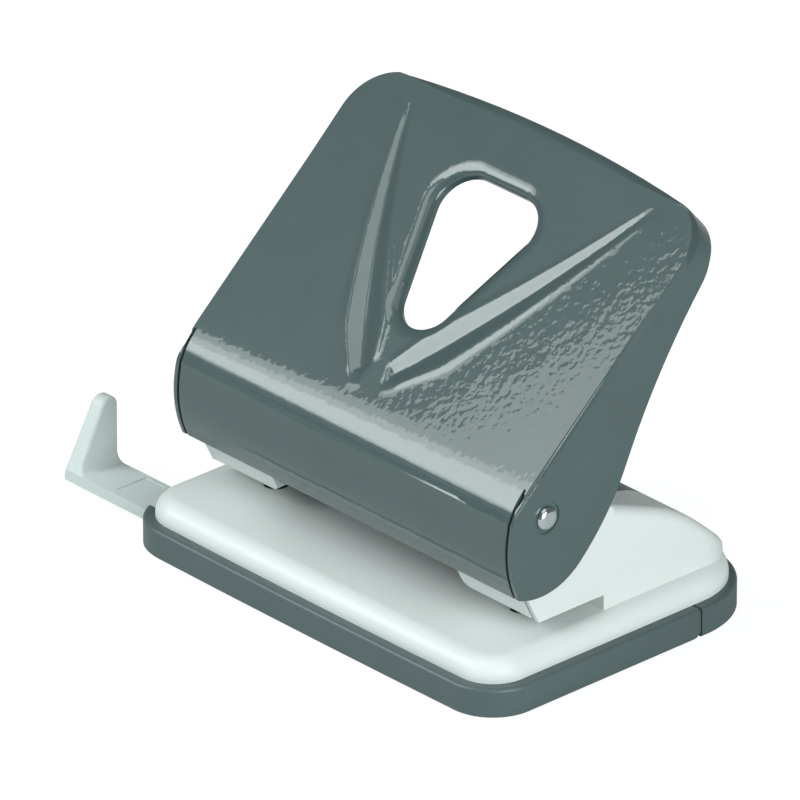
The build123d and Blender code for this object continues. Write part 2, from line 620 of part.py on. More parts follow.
def lever_profile(inset, open_below):
    """Side view of the lever: panel line, bent nose and the ear's lower edge."""
    tan_slope = math.tan(SLOPE)
    radius = NOSE_RADIUS - inset
    centre = Vector(*NOSE_CENTRE)
    height = PANEL_HEIGHT - inset / math.cos(SLOPE)
    # The nose circle meets the panel line where centre + radius * (-cos a, sin a) lies on it
    gap = height + tan_slope * centre.X - centre.Y
    reach = radius * math.hypot(1, tan_slope)
    angle = math.atan2(1, tan_slope) - math.acos(gap / reach)
    bend = centre + Vector(-math.cos(angle), math.sin(angle)) * radius
    rear = Vector(WIDE / 3, height + tan_slope * WIDE / 3)
    tip = Vector(EAR_LOW_POINT[0], EAR_LOW_POINT[1] + EAR_TIP_RADIUS)
    if open_below:
        low_z = EAR_LOW_POINT[1] - NOSE_RADIUS / 3
        low = Vector(centre.X - math.sqrt(radius**2 - (centre.Y - low_z) ** 2), low_z)
        face_angle = math.asin((low_z - centre.Y) / radius)
        middle = (angle + face_angle) / 2
        nose = ThreePointArc(low, centre + Vector(-math.cos(middle), math.sin(middle)) * radius, bend)
        edges = [nose, *Polyline(bend, rear, (WIDE / 3, low_z), low).edges()]
    else:
        low = circle_meeting(centre, radius, tip, EAR_TIP_RADIUS)
        face_angle = math.asin((low.Y - centre.Y) / radius)
        middle = (angle + face_angle) / 2
        nose = ThreePointArc(low, centre + Vector(-math.cos(middle), math.sin(middle)) * radius, bend)
        start = math.degrees(math.atan2(low.X - tip.X, tip.Y - low.Y))
        heading = (math.cos(math.radians(start)), math.sin(math.radians(start)))
        first = JernArc(low, heading, EAR_TIP_RADIUS, EAR_TIP_TURN - start)
        second = JernArc(first @ 1, first % 1, EAR_SIDE_RADIUS, EAR_SIDE_TURN)
        third = JernArc(second @ 1, second % 1, EAR_BACK_RADIUS, -EAR_BACK_TURN)
        end = third @ 1
        back = Line(end, end + Vector(math.cos(SLOPE), math.sin(SLOPE)) * WIDE / 4)
        edges = [nose, first, second, third, back, *Polyline(back @ 1, rear, bend).edges()]
    face = make_face(edges)
    corner = [v for v in face.vertices() if (Vector(v.X, v.Y) - bend).length < NEAR]
    return fillet(corner, NOSE_BEND_RADIUS - inset)


def circle_meeting(centre_a, radius_a, centre_b, radius_b):
    """The lower left point where two circles cross."""
    between = centre_b - centre_a
    distance = between.length
    along = (distance**2 + radius_a**2 - radius_b**2) / (2 * distance)
    off = math.sqrt(radius_a**2 - along**2)
    unit = between / distance
    normal = Vector(-unit.Y, unit.X)
    points = [centre_a + unit * along + normal * off, centre_a + unit * along - normal * off]
    return min(points, key=lambda p: p.X + p.Y)


def flute_tool(grow):
    """V groove: two tilted rods that rise out of the panel towards the rear corners, joined in front."""
    radius = FLUTE_RADIUS + grow
    upright = (Align.CENTER, Align.CENTER, Align.MIN)
    tool = None
    fronts = []
    for _, side in SIDES:
        front_place = Vector(PRESSING_SHIFT + side * FLUTE_FRONT[0], FLUTE_FRONT[1], FLUTE_RADIUS - FLUTE_DEPTH)
        rear_place = Vector(PRESSING_SHIFT + side * FLUTE_REAR[0], FLUTE_REAR[1], FLUTE_RADIUS)
        front = PANEL_PLANE.from_local_coords(front_place)
        axis = PANEL_PLANE.from_local_coords(rear_place) - front
        leg = Plane(origin=front, z_dir=axis) * Cylinder(radius, axis.length * FLUTE_OVERRUN, align=upright)
        leg += Pos(*front) * Sphere(radius)
        tool = leg if tool is None else tool + leg
        fronts.append(front)
    bridge = Plane(origin=fronts[0], z_dir=(1, 0, 0))
    return tool + bridge * Cylinder(radius, (fronts[1] - fronts[0]).length, align=upright)


def cutout_plan(grow):
    """Cut-out in the panel's plane: small round front end, straight diverging sides, wide round rear."""
    tip_y = CUTOUT_FRONT + CUTOUT_TIP_RADIUS
    wide_y = CUTOUT_REAR - CUTOUT_CORNER_RADIUS
    wide_x = CUTOUT_REAR_HALF - CUTOUT_CORNER_RADIUS
    tip = Pos(PRESSING_SHIFT, tip_y) * Circle(CUTOUT_TIP_RADIUS + grow)
    left = Pos(PRESSING_SHIFT - wide_x, wide_y) * Circle(CUTOUT_CORNER_RADIUS + grow)
    right = Pos(PRESSING_SHIFT + wide_x, wide_y) * Circle(CUTOUT_CORNER_RADIUS + grow)
    return make_hull([*tip.edges(), *left.edges(), *right.edges()])


def edges_in_panel(shape, level, half_width, front, rear):
    """The edges that lie in the panel's plane moved by a level, within a width and a stretch of the slope."""
    plane = PANEL_PLANE.offset(level)
    found = []
    for edge in shape.edges():
        middle = plane.to_local_coords(edge @ 0.5)
        beside = abs(middle.X - PRESSING_SHIFT) < half_width
        if abs(middle.Z) < NEAR and beside and front < middle.Y < rear:
            found.append(edge)
    return found


def cutout_edges(shape, level):
    """The edges of the cut-out's outline at a level."""
    margin = 2 * LEVER_SHEET
    return edges_in_panel(shape, level, CUTOUT_REAR_HALF + margin, CUTOUT_FRONT - margin, CUTOUT_REAR + margin)


def flute_edges(shape):
    """The edges where the flutes leave the panel."""
    front = FLUTE_FRONT[1] - FLUTE_RADIUS
    return edges_in_panel(shape, 0, FLUTE_REAR[0] + FLUTE_DEPTH, front, FLUTE_REAR[1] + FLUTE_DEPTH)


def make_lever():
    """Pressed lever: panel with flutes and a lipped cut-out, bent nose, two ears with dimpled pivot holes."""
    outer = panel_block(0) & across(lever_profile(0, False), WIDE)
    outer -= flute_tool(0)
    outer = fillet(flute_edges(outer), FLUTE_SHOULDER)
    inner = panel_block(LEVER_SHEET) & across(lever_profile(LEVER_SHEET, True), WIDE)
    inner -= flute_tool(LEVER_SHEET)
    plug = extrude(PANEL_PLANE * cutout_plan(LEVER_SHEET), -CUTOUT_LIP)
    inner -= plug
    inner = fillet(cutout_edges(inner, -LEVER_SHEET), CUTOUT_FLARE - LEVER_SHEET)
    lever = outer - inner
    lever -= extrude(PANEL_PLANE * cutout_plan(0), WIDE / 8, both=True)
    lever = fillet(cutout_edges(lever, 0), CUTOUT_FLARE)
    for _, side in SIDES:
        slit = sorted((side * NOSE_END_X, side * (LEVER_HALF - LEVER_SHEET)))
        lever -= block(slit, (-WIDE, NOSE_SLIT_TOP_Y), (-WIDE, WIDE))
        ear_x = side * LEVER_HALF
        lever -= rod(AXLE_RADIUS + AXLE_FIT, (ear_x - WASHER_RADIUS, PIVOT_Y, PIVOT_Z), 2 * WASHER_RADIUS, "X")
        dimple = sorted((ear_x, ear_x - side * DIMPLE_DEPTH))
        lever -= rod(DIMPLE_RADIUS, (dimple[0], PIVOT_Y, PIVOT_Z), DIMPLE_DEPTH, "X")
    return lever


def make_pivot_axle():
    """Steel axle through both ears and frame walls, with a domed head at each end."""
    seat = LEVER_HALF - DIMPLE_DEPTH
    axle = rod(AXLE_RADIUS, (-seat, PIVOT_Y, PIVOT_Z), 2 * seat, "X")
    for _, side in SIDES:
        start = min(side * seat, side * (seat + AXLE_HEAD_HEIGHT))
        head = rod(AXLE_HEAD_RADIUS, (start, PIVOT_Y, PIVOT_Z), AXLE_HEAD_HEIGHT, "X")
        outer_face = head.faces().sort_by(Axis.X)[-1 if side > 0 else 0]
        axle += fillet(outer_face.edges(), AXLE_HEAD_HEIGHT * DOME_SHARE)
    return axle


def make_axle_washers():
    """Thin washers that keep each ear off the frame wall."""
    washers = []
    for _, side in SIDES:
        near = FRAME_HALF + WASHER_PLAY
        start = min(side * near, side * (near + WASHER_THICKNESS))
        ring = rod(WASHER_RADIUS, (start, PIVOT_Y, PIVOT_Z), WASHER_THICKNESS, "X")
        washers.append(ring - rod(AXLE_RADIUS + AXLE_FIT, (start, PIVOT_Y, PIVOT_Z), WASHER_THICKNESS, "X"))
    return washers


def make_thrust_arm(side):
    """Bracket welded under the panel, with a rounded foot that presses on one pin."""
    drop = (LEVER_SHEET + ARM_WELD_GAP) / math.cos(SLOPE)
    slant = math.tan(SLOPE)

    def under(y, extra=0.0):
        return PANEL_HEIGHT + slant * y - drop - extra / math.cos(SLOPE)

    web = Polyline(
        (ARM_Y - ARM_WEB / 2, ARM_Z),
        (ARM_Y + ARM_WEB / 2, ARM_Z),
        (ARM_Y + ARM_WEB / 2, under(ARM_Y + ARM_WEB / 2, ARM_WEB)),
        (ARM_Y + ARM_FLANGE, under(ARM_Y + ARM_FLANGE, ARM_WEB)),
        (ARM_Y + ARM_FLANGE, under(ARM_Y + ARM_FLANGE)),
        (ARM_Y - ARM_WEB / 2, under(ARM_Y - ARM_WEB / 2)),
        close=True,
    )
    foot = Pos(ARM_Y, ARM_Z) * Circle(ARM_NOSE_RADIUS)
    return across(make_face(web.edges()) + foot, ARM_WIDTH / 2, side * PIN_X)


def make_punch_pin(side):
    """Cutting pin: flat top, clip groove, and a V-notched cutting tip."""
    place = (side * PIN_X, PIN_Y, PIN_TIP)
    pin = rod(PIN_RADIUS, place, PIN_TOP - PIN_TIP)
    pin = chamfer(pin.faces().sort_by(Axis.Z)[-1].edges(), PIN_TOP_CHAMFER)
    groove = rod(2 * PIN_RADIUS, (place[0], PIN_Y, CLIP_TOP - CLIP_THICKNESS), CLIP_THICKNESS)
    groove -= rod(PIN_RADIUS - CLIP_GROOVE_DEPTH, (place[0], PIN_Y, CLIP_TOP - CLIP_THICKNESS), CLIP_THICKNESS)
    notch = Polyline(
        (PIN_Y - PIN_RADIUS - PIN_FIT, PIN_TIP - NEAR),
        (PIN_Y + PIN_RADIUS + PIN_FIT, PIN_TIP - NEAR),
        (PIN_Y, PIN_TIP + PIN_NOTCH),
        close=True,
    )
    return pin - groove - across(make_face(notch.edges()), 2 * PIN_RADIUS, place[0])


def make_pin_clip(side):
    """Retaining clip in the pin's groove, open to the rear."""
    inner = PIN_RADIUS - CLIP_GROOVE_DEPTH + CLIP_FIT
    bottom = CLIP_TOP - CLIP_THICKNESS + CLIP_FIT
    height = CLIP_THICKNESS - 2 * CLIP_FIT
    place = (side * PIN_X, PIN_Y, bottom)
    ring = rod(CLIP_RADIUS, place, height) - rod(inner, place, height)
    mouth = inner * CLIP_MOUTH_SHARE
    across_mouth = (place[0] - mouth, place[0] + mouth)
    gap = block(across_mouth, (PIN_Y, PIN_Y + 2 * CLIP_RADIUS), (bottom, bottom + height))
    return ring - gap


def make_spring_washer(side):
    """Washer between the clip and the spring."""
    place = (side * PIN_X, PIN_Y, CLIP_TOP - CLIP_THICKNESS - SPRING_WASHER_THICKNESS)
    ring = rod(SPRING_WASHER_RADIUS, place, SPRING_WASHER_THICKNESS)
    return ring - rod(PIN_RADIUS + PIN_FIT, place, SPRING_WASHER_THICKNESS)


def make_guide_bush(side):
    """Flanged bush in the tower's floor that guides the pin just above the paper."""
    place = (side * PIN_X, PIN_Y, FLOOR_BOTTOM + BUSH_RECESS)
    bush = rod(BUSH_RADIUS, place, SHEET - BUSH_RECESS)
    bush += rod(BUSH_FLANGE_RADIUS, (place[0], PIN_Y, FLOOR_TOP), BUSH_FLANGE_HEIGHT)
    return bush - rod(PIN_RADIUS + PIN_FIT, place, SHEET + BUSH_FLANGE_HEIGHT)


def make_upper_guide(side):
    """Inverted U bracket over the spring, with the pin's upper guide hole and an outer foot."""
    half = GUIDE_INNER_WIDTH / 2 + GUIDE_SHEET
    top = GUIDE_PLATE_Z + GUIDE_SHEET
    bracket = block((-half, half), (-GUIDE_DEPTH / 2, GUIDE_DEPTH / 2), (FLOOR_TOP, top))
    inside = GUIDE_INNER_WIDTH / 2
    bracket -= block((-inside, inside), (-GUIDE_DEPTH, GUIDE_DEPTH), (FLOOR_TOP - GUIDE_SHEET, GUIDE_PLATE_Z))
    bends = [
        e for e in bracket.edges().filter_by(Axis.Y)
        if abs((e @ 0.5).Z - top) < NEAR
    ]
    bracket = fillet(bends, GUIDE_BEND_RADIUS)
    foot_end = FRAME_HALF - SHEET - PIN_X - GUIDE_FOOT_GAP
    foot = sorted((side * half, side * foot_end))
    bracket += block(foot, (-GUIDE_DEPTH / 2, GUIDE_DEPTH / 2), (FLOOR_TOP, FLOOR_TOP + GUIDE_SHEET))
    bracket -= rod(PIN_RADIUS + PIN_FIT, (0, 0, GUIDE_PLATE_Z), GUIDE_SHEET)
    return Pos(side * PIN_X, PIN_Y, 0) * bracket


def helix_arcs(radius, rise, turns):
    """A helix as tangent arcs, two for each quarter turn, from (radius, 0, 0) upwards."""
    edges = []
    steps = 4 * turns
    step = math.pi / 2
    slope = rise / (2 * math.pi * turns)

    def point(k):
        return Vector(radius * math.cos(k * step), radius * math.sin(k * step), slope * k * step)

    def heading(k):
        return Vector(-radius * math.sin(k * step), radius * math.cos(k * step), slope).normalized()

    for k in range(steps):
        start, end = point(k), point(k + 1)
        out, into = heading(k), heading(k + 1)
        chord = end - start
        along = chord.dot(out + into)
        spread = 2 * (1 - out.dot(into))
        arm = (math.sqrt(along**2 + spread * chord.dot(chord)) - along) / spread
        joint = (start + end + (out - into) * arm) / 2
        middle = (end - into * arm) - (start + out * arm)
        edges.append(Edge.make_tangent_arc(start, out, joint))
        edges.append(Edge.make_tangent_arc(joint, middle, end))
    return edges


def make_return_spring(side):
    """Compression spring round the pin, between the bush and the spring washer."""
    rise = SPRING_TOP - SPRING_BOTTOM - SPRING_WIRE
    path = Wire(helix_arcs(SPRING_MEAN_RADIUS, rise, SPRING_TURNS))
    section = Plane(origin=path @ 0, z_dir=path % 0) * Circle(SPRING_WIRE / 2)
    coil = sweep(section, path=path)
    return Pos(side * PIN_X, PIN_Y, SPRING_BOTTOM + SPRING_WIRE / 2) * coil


def spring_gap():
    """Least clear distance between the spring's turns, measured on points of its path."""
    rise = SPRING_TOP - SPRING_BOTTOM - SPRING_WIRE
    samples = 48
    points = []
    for k in range(samples * SPRING_TURNS + 1):
        turn = 2 * math.pi * k / samples
        height = rise * k / (samples * SPRING_TURNS)
        points.append(Vector(SPRING_MEAN_RADIUS * math.cos(turn), SPRING_MEAN_RADIUS * math.sin(turn), height))
    nearest = min(
        (points[i] - points[j]).length
        for i in range(len(points))
        for j in range(i + samples // 2, len(points), 3)
    )
    return nearest - SPRING_WIRE


def make_paper_guide():
    """Guide bar with an upright fin: straight rear edge, leaning front edge, thinned and rounded top."""
    fin_outer = FIN_INNER_X - FIN_THICKNESS
    bar = block((fin_outer, BAR_RIGHT_X), (BAR_FRONT_Y, BAR_REAR_Y), (BAR_BOTTOM, BAR_TOP))
    panel_x = FIN_INNER_X + BAR_PANEL_OFFSET
    middle_y = (BAR_FRONT_Y + BAR_REAR_Y) / 2
    bar -= block(
        (panel_x, panel_x + BAR_PANEL[0]),
        (middle_y - BAR_PANEL[1] / 2, middle_y + BAR_PANEL[1] / 2),
        (BAR_TOP - BAR_PANEL_DEPTH, BAR_TOP),
    )
    front_top = (BAR_REAR_Y - FIN_TOP_WIDTH, FIN_TOP)
    rear_top = (BAR_REAR_Y, FIN_TOP)
    outline = Polyline(
        (BAR_FRONT_Y, BAR_BOTTOM),
        (BAR_FRONT_Y, BAR_TOP),
        front_top,
        rear_top,
        (BAR_REAR_Y, BAR_BOTTOM),
        close=True,
    )
    tops = ((front_top, FIN_FRONT_RADIUS), (rear_top, FIN_REAR_RADIUS))
    plan = round_corners(make_face(outline.edges()), tops)
    fin = across(plan, FIN_THICKNESS / 2, fin_outer + FIN_THICKNESS / 2)
    taper = Polyline(
        (fin_outer, BAR_BOTTOM),
        (fin_outer, BAR_TOP),
        (FIN_INNER_X - FIN_TOP_THICKNESS, FIN_TOP + NEAR),
        (FIN_INNER_X, FIN_TOP + NEAR),
        (FIN_INNER_X, BAR_BOTTOM),
        close=True,
    )
    fin &= extrude(Plane.XZ * make_face(taper.edges()), WIDE, both=True)
    guide = bar + fin
    inner = [
        e for e in guide.edges().filter_by(Axis.Y)
        if abs((e @ 0.5).X - FIN_INNER_X) < NEAR and abs((e @ 0.5).Z - BAR_TOP) < NEAR
    ]
    guide = fillet(inner, FIN_BLEND)
    soft = [
        e for e in guide.edges()
        if (e @ 0.5).Z > BAR_TOP + NEAR and abs((e @ 0).X - (e @ 1).X) < FIN_TOP_THICKNESS / 2
    ]
    return fillet(soft, FIN_EDGE_RADIUS)


def make_guide_runner():
    """Sheet hanger under the base plate: two legs with lips that carry the guide bar."""
    front = BAR_FRONT_Y - RUNNER_PLAY
    rear = BAR_REAR_Y + RUNNER_PLAY
    low = SKIRT_FLOOR + RUNNER_LIFT_PLAY
    span = (RUNNER_LEFT_X, RUNNER_LEFT_X + RUNNER_LENGTH)
    runner = block(span, (front - RUNNER_SHEET, rear + RUNNER_SHEET), (low, PLATE_UNDERSIDE))
    runner -= block(span, (front, rear), (BAR_BOTTOM - RUNNER_LIFT_PLAY, PLATE_UNDERSIDE - RUNNER_SHEET))
    return runner - block(span, (front + RUNNER_LIP, rear - RUNNER_LIP), (0, BAR_BOTTOM))


def write(node, shape):
    """Write one node, a solid or a group of solids, as parts/NODE.step."""
    solids = []
    for item in shape if isinstance(shape, list) else [shape]:
        solids.extend(item.solids())
    model = solids[0] if len(solids) == 1 else Compound(children=solids)
    model.label = node
    export_step(model, f"parts/{node}.step")


def main():
    """Build every node and write it."""
    os.makedirs("parts", exist_ok=True)
    write("chip_tray", make_chip_tray())
    write("rear_skirt", make_rear_skirt())
    write("tray_hinge_pins", make_tray_hinge_pins())
    write("skirt_screws", make_skirt_screws())
    write("base_plate", make_base_plate())
    write("punch_frame", make_punch_frame())
    write("rear_cover", make_rear_cover())
    write("frame_rivets", make_frame_rivets())
    write("lever", make_lever())
    write("pivot_axle", make_pivot_axle())
    write("axle_washers", make_axle_washers())
    write("paper_guide", make_paper_guide())
    write("guide_runner", make_guide_runner())
    for name, side in SIDES:
        write(f"{name}_thrust_arm", make_thrust_arm(side))
        write(f"{name}_punch_pin", make_punch_pin(side))
        write(f"{name}_pin_clip", make_pin_clip(side))
        write(f"{name}_spring_washer", make_spring_washer(side))
        write(f"{name}_guide_bush", make_guide_bush(side))
        write(f"{name}_upper_guide", make_upper_guide(side))
        write(f"{name}_return_spring", make_return_spring(side))
    print(f"least gap between spring turns: {spring_gap():.2f} mm")


main()
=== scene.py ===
"""Looks of the two-hole desk punch: painted steel lever, white base, dark skirt and pale paper guide."""

import logging
import math
from dataclasses import dataclass
from enum import Enum

import bpy
import numpy as np
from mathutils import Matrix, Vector

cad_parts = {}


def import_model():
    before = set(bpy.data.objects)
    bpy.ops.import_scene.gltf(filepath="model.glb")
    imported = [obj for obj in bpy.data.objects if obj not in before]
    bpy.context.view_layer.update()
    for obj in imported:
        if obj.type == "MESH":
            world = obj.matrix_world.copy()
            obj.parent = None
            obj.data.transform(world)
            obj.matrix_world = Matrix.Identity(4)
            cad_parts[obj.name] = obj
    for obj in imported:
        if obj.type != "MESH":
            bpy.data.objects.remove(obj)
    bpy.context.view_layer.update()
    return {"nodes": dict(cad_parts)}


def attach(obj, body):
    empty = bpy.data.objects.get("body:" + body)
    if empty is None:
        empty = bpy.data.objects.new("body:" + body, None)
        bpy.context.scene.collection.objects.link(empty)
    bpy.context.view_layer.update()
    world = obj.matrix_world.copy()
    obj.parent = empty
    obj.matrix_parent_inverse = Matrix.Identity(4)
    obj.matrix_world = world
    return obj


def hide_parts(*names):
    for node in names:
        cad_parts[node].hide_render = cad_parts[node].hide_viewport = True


LOG = logging.getLogger("punch")
MM_PER_METRE = 1000.0

Colour = tuple[float, float, float]


class Pattern(Enum):
    """The fine surface pattern that a finish carries."""

    ORANGE_PEEL = "orange_peel"
    POWDER = "powder"
    MOULDED = "moulded"
    BRUSHED = "brushed"


@dataclass(frozen=True)
class Grain:
    """A noise in cells per metre, and the bump that it gives, its height in metres."""

    scale: float
    detail: float
    roughness: float
    strength: float
    height: float
    stretch: tuple[float, float, float] = (1.0, 1.0, 1.0)


# The first grain of a pattern also varies the roughness; the others lie under it.
GRAINS: dict[Pattern, tuple[Grain, ...]] = {
    Pattern.ORANGE_PEEL: (
        Grain(scale=620.0, detail=1.0, roughness=0.4, strength=0.1, height=0.00014),
        Grain(scale=150.0, detail=1.0, roughness=0.3, strength=0.1, height=0.00016),
    ),
    Pattern.POWDER: (Grain(scale=160.0, detail=0.0, roughness=0.5, strength=0.05, height=0.0001),),
    Pattern.MOULDED: (Grain(scale=1600.0, detail=2.0, roughness=0.6, strength=0.14, height=0.00012),),
    Pattern.BRUSHED: (
        Grain(scale=500.0, detail=2.0, roughness=0.6, strength=0.1, height=0.0001, stretch=(0.05, 1.0, 1.0)),
    ),
}
CLOUD_SCALE = 70.0
CLOUD_DETAIL = 3.0
CLOUD_RANGE = (0.2, 0.8)
GRAIN_RANGE = (0.3, 0.7)


class Shader:
    """A small helper that builds one node material."""

    def __init__(self, name: str) -> None:
        """Start a material with an empty tree.

        Args:
            name: the material's name.
        """
        self.material = bpy.data.materials.new(name)
        self.material.use_nodes = True
        self.tree = self.material.node_tree
        self.tree.nodes.clear()
        self.output = self.node("ShaderNodeOutputMaterial")

    def node(self, kind: str, **values: object) -> bpy.types.Node:
        """Add a node and set its properties and sockets.

        Args:
            kind: the node's type name.
            **values: a property of the node, or a socket's name with _ for a space.

        Returns:
            The new node.
        """
        made = self.tree.nodes.new(kind)
        for key, value in values.items():
            if hasattr(made, key):
                setattr(made, key, value)
            else:
                made.inputs[key.replace("_", " ")].default_value = value
        return made

    def link(self, source: bpy.types.NodeSocket, target: bpy.types.NodeSocket) -> None:
        """Join two sockets."""
        self.tree.links.new(source, target)

    def coordinates(self) -> bpy.types.NodeSocket:
        """Return the Object coordinates, in metres in the shared frame."""
        return self.node("ShaderNodeTexCoord").outputs["Object"]

    def noise(
        self,
        scale: float,
        detail: float,
        roughness: float = 0.5,
        stretch: tuple[float, float, float] = (1.0, 1.0, 1.0),
    ) -> bpy.types.NodeSocket:
        """Add a noise pattern on Object coordinates.

        Args:
            scale: cells per metre.
            detail: octaves.
            roughness: how strong the finer octaves are.
            stretch: scale along X, Y and Z.

        Returns:
            The noise's value socket.
        """
        mapping = self.node("ShaderNodeMapping")
        mapping.inputs["Scale"].default_value = stretch
        self.link(self.coordinates(), mapping.inputs["Vector"])
        noise = self.node("ShaderNodeTexNoise", Scale=scale, Detail=detail, Roughness=roughness)
        self.link(mapping.outputs["Vector"], noise.inputs["Vector"])
        return noise.outputs[0]

    def ramp(
        self, value: bpy.types.NodeSocket, ends: tuple[float, float], first: Colour, last: Colour
    ) -> bpy.types.NodeSocket:
        """Map a value to a blend of two colours.

        Args:
            value: the driving value.
            ends: values at which the first colour ends and the last one begins.
            first: linear colour below the ends.
            last: linear colour above the ends.

        Returns:
            The colour socket.
        """
        ramp = self.node("ShaderNodeValToRGB")
        for element, place, colour in zip(ramp.color_ramp.elements, ends, (first, last)):
            element.position = place
            element.color = (*colour, 1.0)
        self.link(value, ramp.inputs[0])
        return ramp.outputs[0]

    def spread(self, value: bpy.types.NodeSocket, low: float, high: float) -> bpy.types.NodeSocket:
        """Map a grain's value to a range, for a roughness.

        Args:
            value: the driving value.
            low: result at the low end of the grain's range.
            high: result at the high end of the grain's range.

        Returns:
            The mapped value socket.
        """
        mapped = self.node("ShaderNodeMapRange")
        mapped.inputs["From Min"].default_value = GRAIN_RANGE[0]
        mapped.inputs["From Max"].default_value = GRAIN_RANGE[1]
        mapped.inputs["To Min"].default_value = low
        mapped.inputs["To Max"].default_value = high
        self.link(value, mapped.inputs["Value"])
        return mapped.outputs["Result"]

    def bump(
        self,
        height: bpy.types.NodeSocket,
        strength: float,
        distance: float,
        after: bpy.types.NodeSocket | None = None,
    ) -> bpy.types.NodeSocket:
        """Add a bump from a height.

        Args:
            height: the height pattern.
            strength: 0 to 1.
            distance: full height in metres.
            after: a normal that this bump is laid over.

        Returns:
            The normal socket.
        """
        bump = self.node("ShaderNodeBump", Strength=strength, Distance=distance)
        self.link(height, bump.inputs["Height"])
        if after is not None:
            self.link(after, bump.inputs["Normal"])
        return bump.outputs["Normal"]


@dataclass(frozen=True)
class Finish:
    """One finish of the punch: a base colour with a fine pattern and a gloss."""

    name: str
    colour: Colour
    pattern: Pattern
    roughness: float = 0.4
    metallic: float = 0.0
    coat: float = 0.0
    specular: float = 0.5
    variation: float = 0.06
    coat_roughness: float = 0.03
    roughness_spread: float = 0.12

    def build(self) -> bpy.types.Material:
        """Make the node material.

        Returns:
            The material.
        """
        shader = Shader(self.name)
        surface = shader.node("ShaderNodeBsdfPrincipled")
        surface.inputs["Metallic"].default_value = self.metallic
        surface.inputs["Specular IOR Level"].default_value = self.specular
        surface.inputs["Coat Weight"].default_value = self.coat
        surface.inputs["Coat Roughness"].default_value = self.coat_roughness
        dark = tuple(c * (1.0 - self.variation) for c in self.colour)
        light = tuple(min(1.0, c * (1.0 + self.variation)) for c in self.colour)
        cloud = shader.noise(CLOUD_SCALE, CLOUD_DETAIL)
        shader.link(shader.ramp(cloud, CLOUD_RANGE, dark, light), surface.inputs["Base Color"])
        normal, grain = self._texture(shader)
        low = self.roughness * (1.0 - self.roughness_spread)
        high = min(1.0, self.roughness * (1.0 + self.roughness_spread))
        shader.link(shader.spread(grain, low, high), surface.inputs["Roughness"])
        shader.link(normal, surface.inputs["Normal"])
        if self.coat:
            shader.link(normal, surface.inputs["Coat Normal"])
        shader.link(surface.outputs[0], shader.output.inputs["Surface"])
        return shader.material

    def _texture(self, shader: Shader) -> tuple[bpy.types.NodeSocket, bpy.types.NodeSocket]:
        """Add the pattern's bumps, the finest last.

        Args:
            shader: the material that gets them.

        Returns:
            The normal socket and the finest grain's value.
        """
        normal = None
        value = None
        for grain in reversed(GRAINS[self.pattern]):
            value = shader.noise(grain.scale, grain.detail, grain.roughness, grain.stretch)
            normal = shader.bump(value, grain.strength, grain.height, normal)
        return normal, value


LEVER_PAINT = Finish(
    "lever_paint", (0.058, 0.091, 0.091), Pattern.ORANGE_PEEL, roughness=0.32, coat=1.0, specular=0.18
)
BODY_PAINT = Finish(
    "body_paint", (0.665, 0.70, 0.69), Pattern.POWDER,
    roughness=0.42, coat=0.1, specular=0.3, variation=0.015,
)
DARK_PLASTIC = Finish("dark_plastic", (0.074, 0.107, 0.108), Pattern.MOULDED, roughness=0.42)
PALE_PLASTIC = Finish("pale_plastic", (0.56, 0.62, 0.61), Pattern.MOULDED, roughness=0.38, variation=0.03)
POLISHED_STEEL = Finish(
    "polished_steel", (0.66, 0.70, 0.71), Pattern.BRUSHED, roughness=0.16, metallic=1.0
)
DULL_STEEL = Finish("dull_steel", (0.46, 0.48, 0.48), Pattern.BRUSHED, roughness=0.34, metallic=1.0)

DRESS: dict[Finish, tuple[str, ...]] = {
    LEVER_PAINT: ("lever",),
    BODY_PAINT: ("base_plate", "punch_frame"),
    DARK_PLASTIC: ("chip_tray", "rear_skirt", "rear_cover"),
    PALE_PLASTIC: ("paper_guide",),
    POLISHED_STEEL: ("pivot_axle", "left_punch_pin", "right_punch_pin"),
    DULL_STEEL: (
        "axle_washers", "left_thrust_arm", "right_thrust_arm", "left_pin_clip", "right_pin_clip",
        "left_spring_washer", "right_spring_washer", "left_return_spring", "right_return_spring",
        "left_guide_bush", "right_guide_bush", "left_upper_guide", "right_upper_guide",
        "frame_rivets", "guide_runner", "skirt_screws", "tray_hinge_pins",
    ),
}


def in_object_mode() -> None:
    """Leave edit mode, where an object is being edited."""
    if bpy.context.object is not None and bpy.context.object.mode != "OBJECT":
        bpy.ops.object.mode_set(mode="OBJECT")


def only(piece: bpy.types.Object) -> None:
    """Select one object alone and make it the active one.

    Args:
        piece: the object.
    """
    in_object_mode()
    bpy.ops.object.select_all(action="DESELECT")
    piece.select_set(True)
    bpy.context.view_layer.objects.active = piece


def choose_faces(mesh: bpy.types.Mesh, chosen: np.ndarray) -> None:
    """Select these faces of a mesh and nothing else.

    Args:
        mesh: the mesh, in object mode.
        chosen: True for each face to select.
    """
    mesh.vertices.foreach_set("select", np.zeros(len(mesh.vertices), bool))
    mesh.edges.foreach_set("select", np.zeros(len(mesh.edges), bool))
    mesh.polygons.foreach_set("select", chosen)


def smoothstep(value: np.ndarray) -> np.ndarray:
    """Return a soft step from 0 to 1 over values from 0 to 1."""
    clipped = np.clip(value, 0.0, 1.0)
    return clipped * clipped * (3.0 - 2.0 * clipped)


